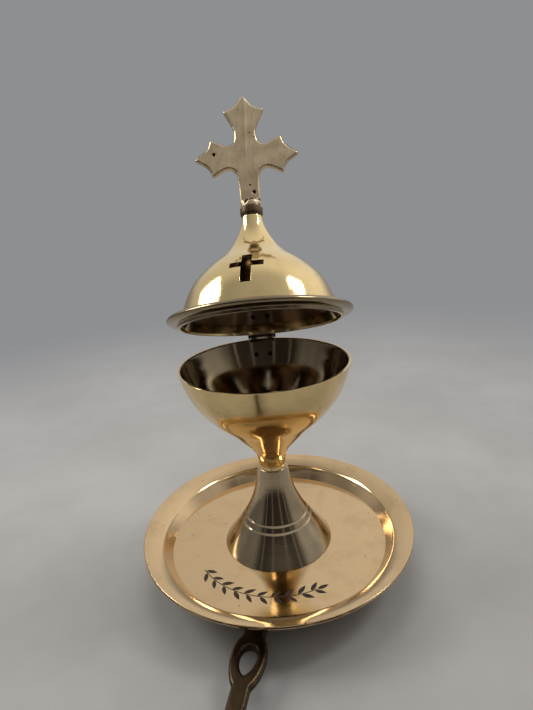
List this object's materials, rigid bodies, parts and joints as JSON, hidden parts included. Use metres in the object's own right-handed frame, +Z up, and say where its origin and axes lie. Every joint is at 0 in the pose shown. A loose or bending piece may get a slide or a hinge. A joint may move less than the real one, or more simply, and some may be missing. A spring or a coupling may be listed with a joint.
{
  "type": "hand censer",
  "caption": "Brass hand censer: turned bowl on a hollow pedestal and saucer, flat cast handle with an oval ring, hinged ogee lid pierced with crosses under a cast cross.",
  "frame": {"origin": "on the axis of the bowl and saucer, in the plane that the foot ring and the tie bolt's head stand on", "axes": "+Z up along the axis of the bowl; +Y towards the hinge; the handle leaves towards -Y, turned 13 degrees towards -X"},
  "size_m": [0.13, 0.203, 0.2175],
  "materials": {
    "polished_brass": "turned and polished, bright, with fine turning marks",
    "cast_brass": "hand-filed satin casting with dark pits",
    "handle_brass": "tarnished casting with bright worn edges",
    "dark_brass": "darkened, unpolished",
    "fastener_steel": "plain zinc-plated fastener"
  },
  "bodies": {
    "stand": {"plate": "polished_brass", "pedestal": "polished_brass", "bowl": "polished_brass", "handle": "handle_brass", "handle_rivet_inner": "handle_brass", "handle_rivet_outer": "handle_brass", "bowl_hinge_leaf": "dark_brass", "hinge_pin": "dark_brass", "bowl_hinge_rivet_left": "dark_brass", "bowl_hinge_rivet_right": "dark_brass", "tie_bolt": "fastener_steel", "tie_bolt_washer": "fastener_steel"},
    "lid": {"lid_dome": "polished_brass", "lid_hinge_leaf": "dark_brass", "lid_hinge_rivet_left": "dark_brass", "lid_hinge_rivet_right": "dark_brass", "finial_washer": "fastener_steel", "finial_nut": "fastener_steel", "finial_collar": "dark_brass", "cross_finial": "cast_brass"}
  },
  "joints": [
    {"name": "lid_hinge", "type": "hinge", "parent": "stand", "child": "lid", "pos_m": [0, 0.045, 0.10311], "axis": [-1, 0, 0], "range_deg": [-22.4, 82.6]}
  ]
}
